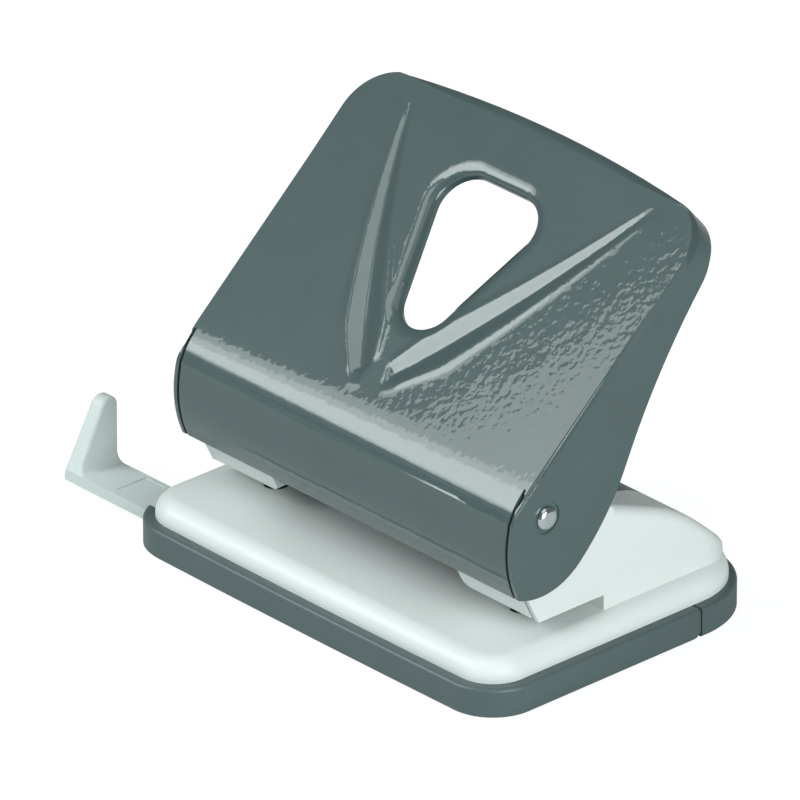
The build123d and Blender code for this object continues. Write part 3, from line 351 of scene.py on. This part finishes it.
@dataclass(frozen=True)
class Flute:
    """One pressed groove in the panel's own plane: across and up the slope, in millimetres.

    It widens from the foot over the first share of its length (wide_from), narrows to its end, and
    fades out over the last share (from fade_from).
    """

    foot: tuple[float, float]
    end: tuple[float, float]
    bow: float = 0.0
    foot_half_width: float = 3.3
    wide_half_width: float = 5.6
    end_half_width: float = 0.9
    wide_from: float = 0.2
    depth: float = 0.87
    fade_from: float = 0.86
    points: int = 24

    def line(self) -> tuple[np.ndarray, np.ndarray]:
        """Lay out the groove's bowed centre line.

        Returns:
            The line's points, and each one's share of its length.
        """
        share = np.linspace(0.0, 1.0, self.points)
        foot, end = np.array(self.foot), np.array(self.end)
        along = end - foot
        aside = np.array((along[1], -along[0])) / np.linalg.norm(along)
        bowed = 4.0 * share * (1.0 - share) * self.bow
        return foot + share[:, None] * along + bowed[:, None] * aside, share

    def reach(self, places: np.ndarray) -> tuple[np.ndarray, np.ndarray]:
        """Measure how far places lie from the groove.

        Args:
            places: rows of places across and up the slope.

        Returns:
            The distance over the half width, and the depth of the groove beside each place.
        """
        points, share = self.line()
        best = np.full(len(places), np.inf)
        at = np.zeros(len(places))
        for start, end, low, high in zip(points[:-1], points[1:], share[:-1], share[1:]):
            run = end - start
            part = np.clip(((places - start) @ run) / (run @ run), 0.0, 1.0)
            gap = np.linalg.norm(places - start - part[:, None] * run, axis=1)
            nearer = gap < best
            best[nearer] = gap[nearer]
            at[nearer] = (low + part * (high - low))[nearer]
        widening = smoothstep(at / self.wide_from)
        half = self.foot_half_width + (self.wide_half_width - self.foot_half_width) * widening
        half = half + (self.end_half_width - self.wide_half_width) * at
        fading = 1.0 - smoothstep((at - self.fade_from) / (1.0 - self.fade_from))
        return best / half, self.depth * half / self.wide_half_width * fading


@dataclass(frozen=True)
class FluteSection:
    """A flute's cross-section, over distances in its own half widths: a wall and a low ridge outside it."""

    wall_start: float = 0.18
    wall_end: float = 0.9
    wall_end_softness: float = 0.1
    ridge_slope: float = 0.42
    ridge_at: float = 1.26
    ridge_width: float = 0.18
    reach: float = 2.0
    samples: int = 401

    def rise(self) -> tuple[np.ndarray, np.ndarray]:
        """Add up the slopes of the wall and the ridge.

        Returns:
            The distances, and the heights there: -1 in the valley and 0 on the panel.
        """
        steps = np.linspace(0.0, self.reach, self.samples)
        shoulder = 0.5 * (1.0 - np.tanh((steps - self.wall_end) / self.wall_end_softness))
        wall = np.tanh(steps / self.wall_start) * shoulder
        ridge = self.ridge_slope * np.exp(-(((steps - self.ridge_at) / self.ridge_width) ** 2))
        heights = np.concatenate(((0.0,), np.cumsum((wall - ridge)[:-1] * np.diff(steps))))
        heights = heights - heights[-1]
        return steps, heights / -heights[0]


@dataclass(frozen=True)
class PressedLever:
    """The lever with its pressing drawn finer: soft flutes, a rounder lip and a softer bend to the nose.

    Lengths are millimetres in the panel's own plane: across, up the slope and out of the panel.
    """

    # The CAD lever's own sizes.
    slope: float = math.radians(41.5)
    panel_height: float = 72.59969
    sheet: float = 1.0
    nose_centre: tuple[float, float] = (-27.238, -24.902)
    nose_radius: float = 27.4
    bend_centre: tuple[float, float] = (-36.49, -9.0)
    bend_radius: float = 9.0
    cutout_tip: tuple[float, float, float] = (-1.5, -5.6, 7.4)
    cutout_corners: tuple[float, float, float] = (6.6, 16.0, 8.0)
    cutout_flare: float = 1.6

    # The part of the panel that is pressed.
    half_width: float = 55.0
    front: float = -35.6
    rear: float = 37.4
    lowest: float = -4.0
    least_facing: float = 0.5
    cutout_gap: float = 0.02
    cutout_fade: float = 1.6
    flutes: tuple[Flute, ...] = (
        Flute(foot=(2.1, -25.2), end=(39.6, 35.0), bow=1.6),
        Flute(foot=(-5.7, -26.8), end=(-38.6, 35.0), bow=-2.6),
        # The plain land between the two feet: it has a place but no depth.
        Flute(foot=(-5.7, -26.8), end=(2.1, -25.2), wide_half_width=3.3, end_half_width=3.3, depth=0.0),
    )
    section: FluteSection = FluteSection()
    joining: float = 0.02
    farthest: float = 4.0
    # Rings that the pressing is averaged over: radius, number of places, share of each.
    blur: tuple[tuple[float, int, float], ...] = ((0.0, 1, 0.22), (0.45, 6, 0.09), (0.9, 6, 0.04))

    # The lip and the bend, and how near a point lies to the CAD surface to count as on it.
    rim_width: float = 1.5
    rim_match: float = 0.06
    rim_slack: float = 0.05
    bend_half_width: float = 54.0
    bend_from: float = -28.9
    bend_to_turn: float = math.radians(35.6)
    bend_layer: float = 3.0
    bend_match: float = 0.15

    # The grid that is cut first: half width, front, rear and lowest place of its faces.
    grid: float = 1.15
    row_share: float = 0.8
    side_margin: float = 4.0
    first_row: float = -43.6
    grid_box: tuple[float, float, float, float] = (59.0, -44.0, 38.0, -6.0)
    grid_facing: float = 0.7
    fine_facing: float = 0.9
    fine_lowest: float = -1.5
    fine_reach: float = 1.9
    smooth_angle: float = math.radians(32)

    def build(self, node: bpy.types.Object) -> bpy.types.Object:
        """Make the lever's finer copy.

        Args:
            node: the lever's CAD node.

        Returns:
            The new piece.
        """
        piece = self._copy(node)
        self._cut_grid(piece)
        self._halve_beside_flutes(piece)
        self._press(piece)
        only(piece)
        bpy.ops.object.shade_smooth_by_angle(angle=self.smooth_angle)
        return piece

    def _copy(self, node: bpy.types.Object) -> bpy.types.Object:
        """Copy a node's mesh into a new piece and merge its loose triangles.

        Args:
            node: the CAD node.

        Returns:
            The new piece.
        """
        piece = bpy.data.objects.new("pressed_lever", node.data.copy())
        bpy.context.scene.collection.objects.link(piece)
        only(piece)
        bpy.ops.mesh.customdata_custom_splitnormals_clear()
        bpy.ops.object.mode_set(mode="EDIT")
        bpy.ops.mesh.select_all(action="SELECT")
        bpy.ops.mesh.remove_doubles(threshold=1e-6)
        in_object_mode()
        return piece

    def _out(self) -> np.ndarray:
        """Return the unit vector out of the panel."""
        return np.array((0.0, -math.sin(self.slope), math.cos(self.slope)))

    def _up(self) -> np.ndarray:
        """Return the unit vector up the panel's slope."""
        return np.array((0.0, math.cos(self.slope), math.sin(self.slope)))

    def _local(self, points: np.ndarray) -> np.ndarray:
        """Turn places in metres into places in the panel's own plane.

        Args:
            points: rows of places in the shared frame.

        Returns:
            Rows of places across, up the slope and out of the panel.
        """
        moved = points * MM_PER_METRE - np.array((0.0, 0.0, self.panel_height))
        return moved @ np.array(((1.0, 0.0, 0.0), self._up(), self._out())).T

    def _faces(self, mesh: bpy.types.Mesh) -> tuple[np.ndarray, np.ndarray]:
        """Measure a mesh's faces.

        Args:
            mesh: the lever's mesh.

        Returns:
            The faces' middles in the panel's own plane, and how far each faces out of the panel.
        """
        middle = np.zeros(len(mesh.polygons) * 3)
        normal = np.zeros(len(mesh.polygons) * 3)
        mesh.polygons.foreach_get("center", middle)
        mesh.polygons.foreach_get("normal", normal)
        return self._local(middle.reshape(-1, 3)), normal.reshape(-1, 3) @ self._out()

    def _cut_grid(self, piece: bpy.types.Object) -> None:
        """Cut the panel's faces and the bend into a fine grid.

        Args:
            piece: the lever's copy.
        """
        middle, outward = self._faces(piece.data)
        half_width, front, rear, lowest = self.grid_box
        chosen = (np.abs(outward) > self.grid_facing) & (middle[:, 2] > lowest)
        chosen &= (np.abs(middle[:, 0]) < half_width) & (middle[:, 1] > front) & (middle[:, 1] < rear)
        choose_faces(piece.data, chosen)
        only(piece)
        bpy.ops.object.mode_set(mode="EDIT")
        bpy.ops.mesh.select_mode(type="FACE")
        bpy.ops.mesh.hide(unselected=True)
        side = self.half_width - self.side_margin
        for place in np.arange(-side, side, self.grid):
            self._cut(Vector((float(place) / MM_PER_METRE, 0.0, 0.0)), Vector((1.0, 0.0, 0.0)))
        up = Vector(self._up())
        origin = Vector((0.0, 0.0, self.panel_height / MM_PER_METRE))
        for place in np.arange(self.first_row, self.rear, self.grid * self.row_share):
            self._cut(origin + up * (float(place) / MM_PER_METRE), up)
        bpy.ops.mesh.reveal(select=False)
        in_object_mode()

    @staticmethod
    def _cut(place: Vector, normal: Vector) -> None:
        """Cut all that is shown in edit mode along a plane."""
        bpy.ops.mesh.select_all(action="SELECT")
        bpy.ops.mesh.bisect(plane_co=place, plane_no=normal, threshold=1e-6)

    def _halve_beside_flutes(self, piece: bpy.types.Object) -> None:
        """Halve the grid's outer faces in and beside the flutes.

        Args:
            piece: the lever's copy, cut into the grid.
        """
        middle, outward = self._faces(piece.data)
        reach = np.min([flute.reach(middle[:, :2])[0] for flute in self.flutes], axis=0)
        near = (outward > self.fine_facing) & (middle[:, 2] > self.fine_lowest)
        near &= (reach < self.fine_reach) & (middle[:, 1] > self.front)
        choose_faces(piece.data, near)
        only(piece)
        bpy.ops.object.mode_set(mode="EDIT")
        bpy.ops.mesh.subdivide(number_cuts=1)
        in_object_mode()

    def _groove(self, places: np.ndarray) -> np.ndarray:
        """Press the flutes with sharp joins.

        Args:
            places: rows of places across and up the slope.

        Returns:
            The height of the panel at each place.
        """
        weight = np.zeros(len(places))
        depth = np.zeros(len(places))
        for flute in self.flutes:
            reach, deep = flute.reach(places)
            share = np.exp(-np.minimum(reach, self.farthest) / self.joining)
            weight += share
            depth += share * deep
        reach = np.maximum(-self.joining * np.log(weight), 0.0)
        return depth / weight * np.interp(reach, *self.section.rise())

    def _soft_groove(self, places: np.ndarray) -> np.ndarray:
        """Average the pressing over a small disc, as a press leaves it.

        Args:
            places: rows of places across and up the slope.

        Returns:
            The height of the panel at each place.
        """
        total = np.zeros(len(places))
        for radius, count, share in self.blur:
            for step in range(count):
                # The rings start at different angles; the radius serves as the angle.
                turn = 2.0 * math.pi * step / count + radius
                around = radius * np.array((math.cos(turn), math.sin(turn)))
                total += share * self._groove(places + around)
        return total

    def _old_profile(self, along: np.ndarray) -> np.ndarray:
        """Return the CAD panel's outer height along the slope: flat, bend and nose.

        Args:
            along: places up the slope.

        Returns:
            The height at each place.
        """
        bend = self._arc(along, self.bend_centre, self.bend_radius)
        nose = self._arc(along, self.nose_centre, self.nose_radius)
        return np.where(along > self.bend_centre[0], 0.0, np.minimum(bend, nose))

    @staticmethod
    def _arc(along: np.ndarray, centre: tuple[float, float], radius: float) -> np.ndarray:
        """Return the upper height of a circle at places along the slope."""
        return centre[1] + np.sqrt(np.maximum(radius**2 - (along - centre[0]) ** 2, 0.0))

    def _soft_bend(self, along: np.ndarray) -> np.ndarray:
        """Measure the softer bend from the CAD one.

        Args:
            along: places up the slope.

        Returns:
            How far the surface moves out of the panel, negative inwards and 0 beyond the bend.
        """
        end = self.nose_centre[0] - self.nose_radius * math.sin(self.bend_to_turn)
        drop = -(self.nose_centre[1] + self.nose_radius * math.cos(self.bend_to_turn))
        power = math.tan(self.bend_to_turn) * (self.bend_from - end) / drop
        share = np.clip((self.bend_from - along) / (self.bend_from - end), 0.0, 1.0)
        inside = (along < self.bend_from) & (along > end)
        return np.where(inside, -drop * share**power - self._old_profile(along), 0.0)

    def _off_cutout(self, places: np.ndarray) -> np.ndarray:
        """Measure the distance of places from the cut-out.

        Args:
            places: rows of places across and up the slope.

        Returns:
            The distance from the cut-out's outline, negative inside it.
        """
        tip_x, tip_y, tip_radius = self.cutout_tip
        half, wide_y, wide_radius = self.cutout_corners
        corners = np.array(((tip_x, tip_y), (tip_x + half, wide_y), (tip_x - half, wide_y)))
        best = np.full(len(places), np.inf)
        inside = np.ones(len(places), bool)
        for start, end in zip(corners, np.roll(corners, -1, axis=0)):
            run = end - start
            part = np.clip(((places - start) @ run) / (run @ run), 0.0, 1.0)
            best = np.minimum(best, np.linalg.norm(places - start - part[:, None] * run, axis=1))
            inside &= (run[0] * (places[:, 1] - start[1]) - run[1] * (places[:, 0] - start[0])) > 0
        widening = np.clip((places[:, 1] - tip_y) / (wide_y - tip_y), 0, 1)
        radius = tip_radius + (wide_radius - tip_radius) * widening
        return np.where(inside, -radius, best - radius)

    def _press(self, piece: bpy.types.Object) -> None:
        """Move the panel's points onto the pressed surface, the rounder lip and the softer bend.

        Args:
            piece: the lever's copy, cut into the grid.
        """
        mesh = piece.data
        points = np.zeros(len(mesh.vertices) * 3)
        normals = np.zeros(len(mesh.vertices) * 3)
        mesh.vertices.foreach_get("co", points)
        mesh.vertex_normals.foreach_get("vector", normals)
        points = points.reshape(-1, 3)
        place = self._local(points)
        outward = normals.reshape(-1, 3) @ self._out()
        clear = self._off_cutout(place[:, :2]) - self.cutout_flare
        panel = (np.abs(place[:, 0]) < self.half_width) & (np.abs(outward) > self.least_facing)
        panel &= (place[:, 1] > self.front) & (place[:, 1] < self.rear)
        panel &= (clear > self.cutout_gap) & (place[:, 2] > self.lowest)
        pressed = self._soft_groove(place[:, :2]) * smoothstep(clear / self.cutout_fade)
        height = np.where(outward > 0, pressed, pressed - self.sheet)
        moved = np.where(panel, height - place[:, 2], 0.0)
        moved = moved + self._roll(place, clear, panel & (outward > 0)) + self._bend(place)
        points += (moved / MM_PER_METRE)[:, None] * self._out()
        mesh.vertices.foreach_set("co", points.ravel())
        mesh.update()

    def _roll(self, place: np.ndarray, clear: np.ndarray, top: np.ndarray) -> np.ndarray:
        """Round the cut-out's lip over a wider strip.

        Args:
            place: rows of places in the panel's own plane.
            clear: each place's distance from the CAD lip's outer edge, negative on the lip.
            top: True for each place on the panel's outer side.

        Returns:
            How far each place moves out of the panel.
        """
        rim = self._rim((self.rim_width - clear) / (self.rim_width + self.cutout_flare))
        old_rim = self._rim(-clear / self.cutout_flare)
        near = clear < self.rim_width
        rolled = (np.abs(place[:, 2] - old_rim) < self.rim_match) & near
        rolled &= clear > -self.cutout_flare - self.rim_slack
        return np.where(rolled | (top & near), rim - old_rim, 0.0)

    def _rim(self, share: np.ndarray) -> np.ndarray:
        """Return the height of a quarter-round lip at shares of its width."""
        clipped = np.clip(share, 0.0, 1.0)
        return -self.cutout_flare * (1.0 - np.sqrt(1.0 - clipped * clipped))

    def _bend(self, place: np.ndarray) -> np.ndarray:
        """Soften the bend between panel and nose.

        Args:
            place: rows of places in the panel's own plane.

        Returns:
            How far each place moves out of the panel.
        """
        old = self._old_profile(place[:, 1])
        lowered = self._soft_bend(place[:, 1])
        bent = (np.abs(place[:, 0]) < self.bend_half_width) & (place[:, 2] > old - self.bend_layer)
        bent &= (place[:, 1] < self.bend_from) & (lowered != 0.0)
        outer = (np.abs(place[:, 2] - old) < self.bend_match) & (place[:, 1] < self.front)
        flush = np.where(outer, old - place[:, 2], 0.0)
        return np.where(bent, lowered + flush, 0.0)


def direction(azimuth: float, elevation: float) -> Vector:
    """Return the unit vector towards a place round the punch.

    Args:
        azimuth: degrees from the front, towards the right.
        elevation: degrees above the floor.

    Returns:
        The vector, in the shared frame.
    """
    turn, rise = math.radians(azimuth), math.radians(elevation)
    return Vector((math.sin(turn) * math.cos(rise), -math.cos(turn) * math.cos(rise), math.sin(rise)))


LAMP_COLOUR: Colour = (0.94, 1.0, 0.99)
LEVER_MIDDLE = (0.0, -0.01, 0.075)
PUNCH_MIDDLE = (0.0, 0.0, 0.05)


@dataclass(frozen=True)
class SoftBox:
    """A lit rectangle that faces the punch: degrees, and metres from its aim."""

    name: str
    azimuth: float
    elevation: float
    distance: float
    size: tuple[float, float]
    radiance: float
    aim: tuple[float, float, float] = PUNCH_MIDDLE

    def build(self) -> None:
        """Make the lamp."""
        data = bpy.data.lights.new(self.name, "AREA")
        data.shape = "RECTANGLE"
        data.size, data.size_y = self.size
        data.color = LAMP_COLOUR
        data.energy = self.radiance * math.pi * self.size[0] * self.size[1]
        lamp = bpy.data.objects.new(self.name, data)
        bpy.context.scene.collection.objects.link(lamp)
        way = direction(self.azimuth, self.elevation)
        lamp.location = Vector(self.aim) + way * self.distance
        lamp.rotation_euler = (-way).to_track_quat("-Z", "Y").to_euler()


# The three key boxes overlap, so that their reflection gets brighter in steps towards its middle.
SOFT_BOXES = (
    SoftBox("key", -35.9, 31.0, 1.1, (0.70, 0.66), 3.2, LEVER_MIDDLE),
    SoftBox("key_middle", -35.7, 31.8, 1.07, (0.595, 0.61), 2.2, LEVER_MIDDLE),
    SoftBox("key_core", -35.6, 32.6, 1.05, (0.50, 0.56), 2.2, LEVER_MIDDLE),
    SoftBox("high", -44.0, 61.0, 1.2, (0.44, 0.40), 2.8, LEVER_MIDDLE),
    SoftBox("top", 60.0, 76.0, 1.3, (1.0, 0.9), 0.8),
    SoftBox("right", 78.0, 20.0, 1.3, (0.9, 0.9), 6.3),
)


@dataclass(frozen=True)
class Studio:
    """Pale floor, soft lamps, white surroundings and the photograph's camera."""

    azimuth: float = 47.5
    elevation: float = 26.9
    distance: float = 3.4
    pixels_per_metre: float = 4560.0
    image_pixels: float = 800.0
    sensor_width: float = 36.0
    clip_end: float = 50.0
    aim: tuple[float, float, float] = (-0.0123, -0.0024, 0.0390)
    floor_size: float = 6.0
    floor_height: float = -0.0002
    floor_bounce: Colour = (0.62, 0.64, 0.64)
    floor_white: Colour = (0.9, 0.9, 0.9)
    floor_glow: float = 1.12
    floor_glow_share: float = 0.8
    surroundings: Colour = (0.94, 1.0, 1.0)
    surroundings_strength: float = 0.15

    def build(self) -> None:
        """Make the floor, world, lamps and camera."""
        self._floor()
        self._world()
        for box in SOFT_BOXES:
            box.build()
        self._camera()

    def _floor(self) -> None:
        """Lay a wide pale floor just under the punch: white with a shadow to the camera, matt to the rest."""
        bpy.ops.object.select_all(action="DESELECT")
        bpy.ops.mesh.primitive_plane_add(size=self.floor_size, location=(0, 0, self.floor_height))
        floor = bpy.context.object
        floor.name = "floor"
        shader = Shader("floor")
        path = shader.node("ShaderNodeLightPath")
        matt = shader.node("ShaderNodeBsdfDiffuse", Color=(*self.floor_bounce, 1.0))
        white = shader.node("ShaderNodeBsdfDiffuse", Color=(*self.floor_white, 1.0))
        glow = shader.node("ShaderNodeEmission", Color=(1.0, 1.0, 1.0, 1.0), Strength=self.floor_glow)
        soft = shader.node("ShaderNodeMixShader", Fac=self.floor_glow_share)
        shader.link(white.outputs[0], soft.inputs[1])
        shader.link(glow.outputs[0], soft.inputs[2])
        mix = shader.node("ShaderNodeMixShader")
        shader.link(path.outputs["Is Camera Ray"], mix.inputs["Fac"])
        shader.link(matt.outputs[0], mix.inputs[1])
        shader.link(soft.outputs[0], mix.inputs[2])
        shader.link(mix.outputs[0], shader.output.inputs["Surface"])
        floor.data.materials.append(shader.material)

    def _world(self) -> None:
        """Make the world white for the camera, and a soft grey for light and reflections."""
        world = bpy.data.worlds.new("studio")
        bpy.context.scene.world = world
        world.use_nodes = True
        tree = world.node_tree
        tree.nodes.clear()
        path = tree.nodes.new("ShaderNodeLightPath")
        seen = tree.nodes.new("ShaderNodeBackground")
        seen.inputs["Color"].default_value = (1.0, 1.0, 1.0, 1.0)
        light = tree.nodes.new("ShaderNodeBackground")
        light.inputs["Color"].default_value = (*self.surroundings, 1.0)
        light.inputs["Strength"].default_value = self.surroundings_strength
        mix = tree.nodes.new("ShaderNodeMixShader")
        output = tree.nodes.new("ShaderNodeOutputWorld")
        tree.links.new(path.outputs["Is Camera Ray"], mix.inputs["Fac"])
        tree.links.new(light.outputs[0], mix.inputs[1])
        tree.links.new(seen.outputs[0], mix.inputs[2])
        tree.links.new(mix.outputs[0], output.inputs["Surface"])

    def _camera(self) -> None:
        """Set the camera at the photograph's viewing angle."""
        data = bpy.data.cameras.new("camera")
        camera = bpy.data.objects.new("camera", data)
        bpy.context.scene.collection.objects.link(camera)
        back = direction(self.azimuth, self.elevation)
        camera.location = Vector(self.aim) + back * self.distance
        camera.rotation_euler = (-back).to_track_quat("-Z", "Y").to_euler()
        data.sensor_width = self.sensor_width
        data.lens = self.sensor_width * self.distance / (self.image_pixels / self.pixels_per_metre)
        data.clip_end = self.clip_end
        bpy.context.scene.camera = camera
        bpy.context.scene.view_settings.view_transform = "Standard"


def dress(nodes: dict[str, bpy.types.Object]) -> None:
    """Give every CAD node its finish.

    Args:
        nodes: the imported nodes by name.
    """
    for finish, names in DRESS.items():
        material = finish.build()
        for name in names:
            node = nodes[name]
            node.data.materials.clear()
            node.data.materials.append(material)
            LOG.info("%s: %s", name, finish.name)


def add_lever(node: bpy.types.Object) -> None:
    """Put the finer lever in the place of its CAD node.

    Args:
        node: the lever's CAD node, already dressed.
    """
    piece = PressedLever().build(node)
    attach(piece, "handle")
    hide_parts("lever")
    LOG.info("%s: %d faces", piece.name, len(piece.data.polygons))


def main() -> None:
    """Load the frame, dress it and set the studio."""
    logging.basicConfig(level=logging.INFO, format="%(message)s")
    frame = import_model()
    dress(frame["nodes"])
    add_lever(frame["nodes"]["lever"])
    Studio().build()


if __name__ == "__main__":
    main()
